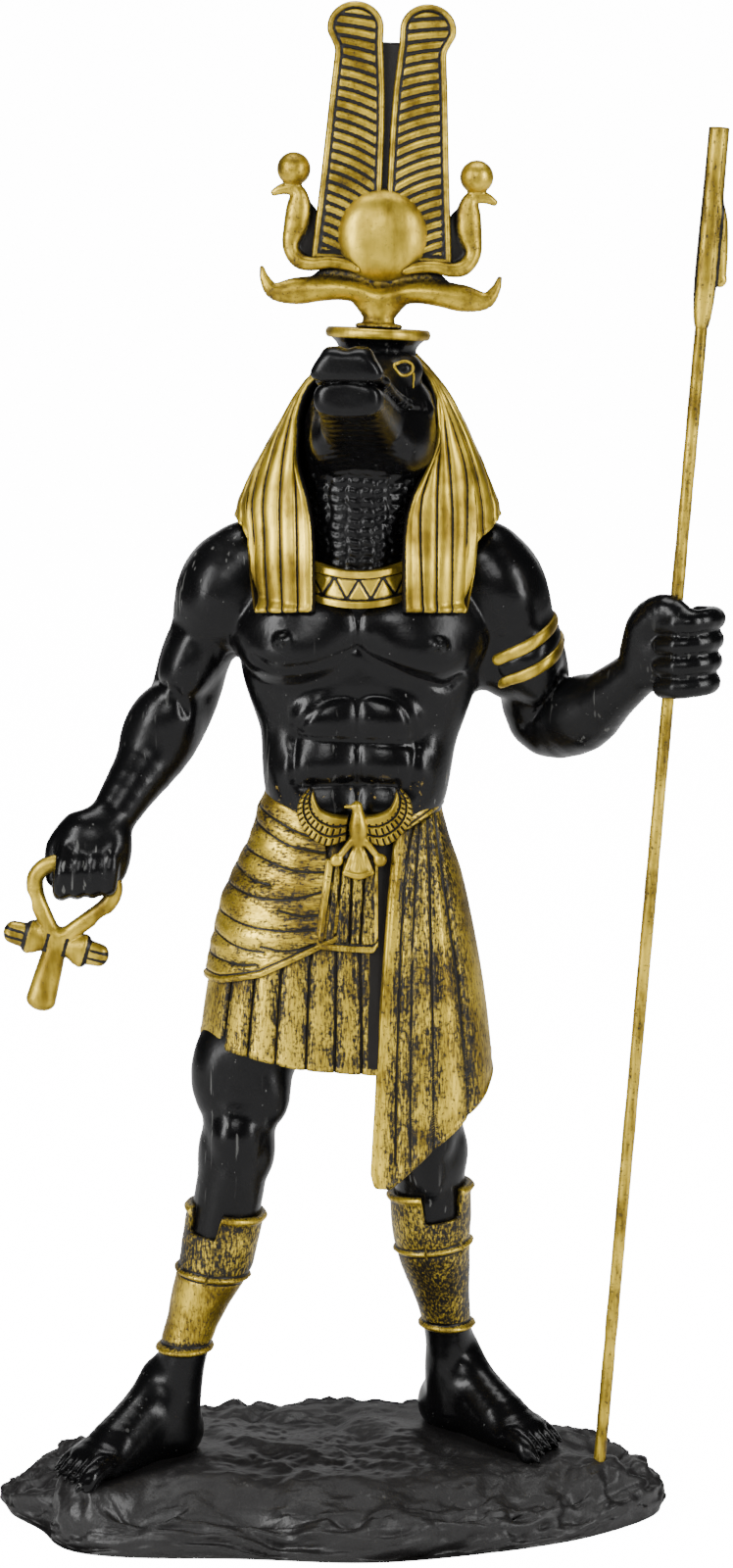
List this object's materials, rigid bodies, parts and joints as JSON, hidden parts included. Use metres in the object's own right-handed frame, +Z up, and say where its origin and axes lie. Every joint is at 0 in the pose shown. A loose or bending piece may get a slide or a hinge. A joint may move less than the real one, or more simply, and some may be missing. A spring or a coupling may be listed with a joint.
{
  "type": "crocodile-headed god statuette",
  "caption": "Cast statuette of a striding crocodile-headed god on a rock, with a plumed crown, an ankh in one hand and a tall sceptre in the other.",
  "frame": {"origin": "middle of the rock's flat underside", "axes": "+Z up along the figure, -Y the way the figure faces, +X towards the sceptre"},
  "size_m": [0.1446, 0.0709, 0.3057],
  "materials": {
    "black_resin": "satin black paint on cast resin, matte on the rock",
    "antique_gold": "antique gold paint rubbed over black"
  },
  "bodies": {
    "root": {"figure_on_rock": "black_resin", "plumed_crown": "antique_gold", "animal_headed_sceptre": "antique_gold"}
  },
  "joints": []
}
